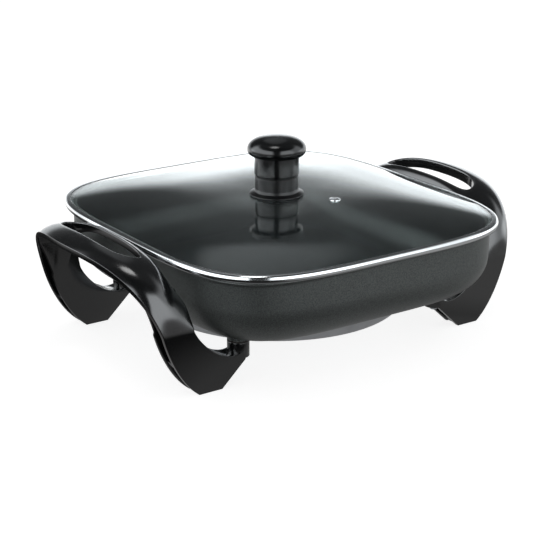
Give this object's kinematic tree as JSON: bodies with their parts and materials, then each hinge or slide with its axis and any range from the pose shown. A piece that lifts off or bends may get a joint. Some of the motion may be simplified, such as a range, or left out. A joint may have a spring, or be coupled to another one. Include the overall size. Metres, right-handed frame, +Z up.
{
  "type": "electric skillet",
  "caption": "Square-cornered electric frying pan on two arched handles with legs, with a lift-off domed glass lid, a round heating plate and a socket for a plug-in control.",
  "frame": {"origin": "centre of the footprint, on the worktop", "axes": "+X from handle to handle towards the control's socket, +Y towards the back, +Z up"},
  "size_m": [0.4132, 0.3296, 0.1672],
  "materials": {
    "pan_body": "cast aluminium, charcoal satin enamel outside and black non-stick coating inside",
    "heat_plate": "bare satin cast aluminium",
    "sheath_steel": "oxide-dulled steel sheath",
    "pin_steel": "polished stainless steel",
    "ceramic": "unglazed off-white ceramic",
    "zinc_steel": "zinc-plated steel",
    "bracket_steel": "zinc-plated sheet steel",
    "guard_moulding": "matt black heat-resistant moulding",
    "phenolic": "polished black phenolic moulding",
    "fibre": "dark heat-insulating fibre",
    "lid_glass": "clear tempered glass",
    "rim_steel": "polished stainless steel",
    "silicone": "dark grey silicone rubber",
    "brass": "turned brass"
  },
  "bodies": {
    "pan": {"pan": "pan_body", "pan_bosses": "pan_body", "heat_plate": "heat_plate", "heating_element": "sheath_steel", "terminal_pins": "pin_steel", "pin_insulators": "ceramic", "sensor_tube": "bracket_steel", "terminal_bracket": "bracket_steel", "terminal_guard": "guard_moulding", "guard_screws": "zinc_steel", "handle_left": "phenolic", "handle_right": "phenolic", "heat_spacers": "fibre", "leg_washers": "zinc_steel", "leg_lock_washers": "zinc_steel", "leg_screws": "zinc_steel"},
    "lid": {"lid_glass": "lid_glass", "lid_rim": "rim_steel", "rim_seal": "silicone", "vent_grommet": "rim_steel", "knob_base": "phenolic", "knob_grip": "phenolic", "knob_insert": "brass", "knob_seal": "silicone", "knob_washer": "zinc_steel", "knob_screw": "zinc_steel"}
  },
  "joints": [
    {"name": "lid_lift", "type": "slide", "parent": "pan", "child": "lid", "axis": [0, 0, 1], "range_m": [0, 0.15]}
  ]
}
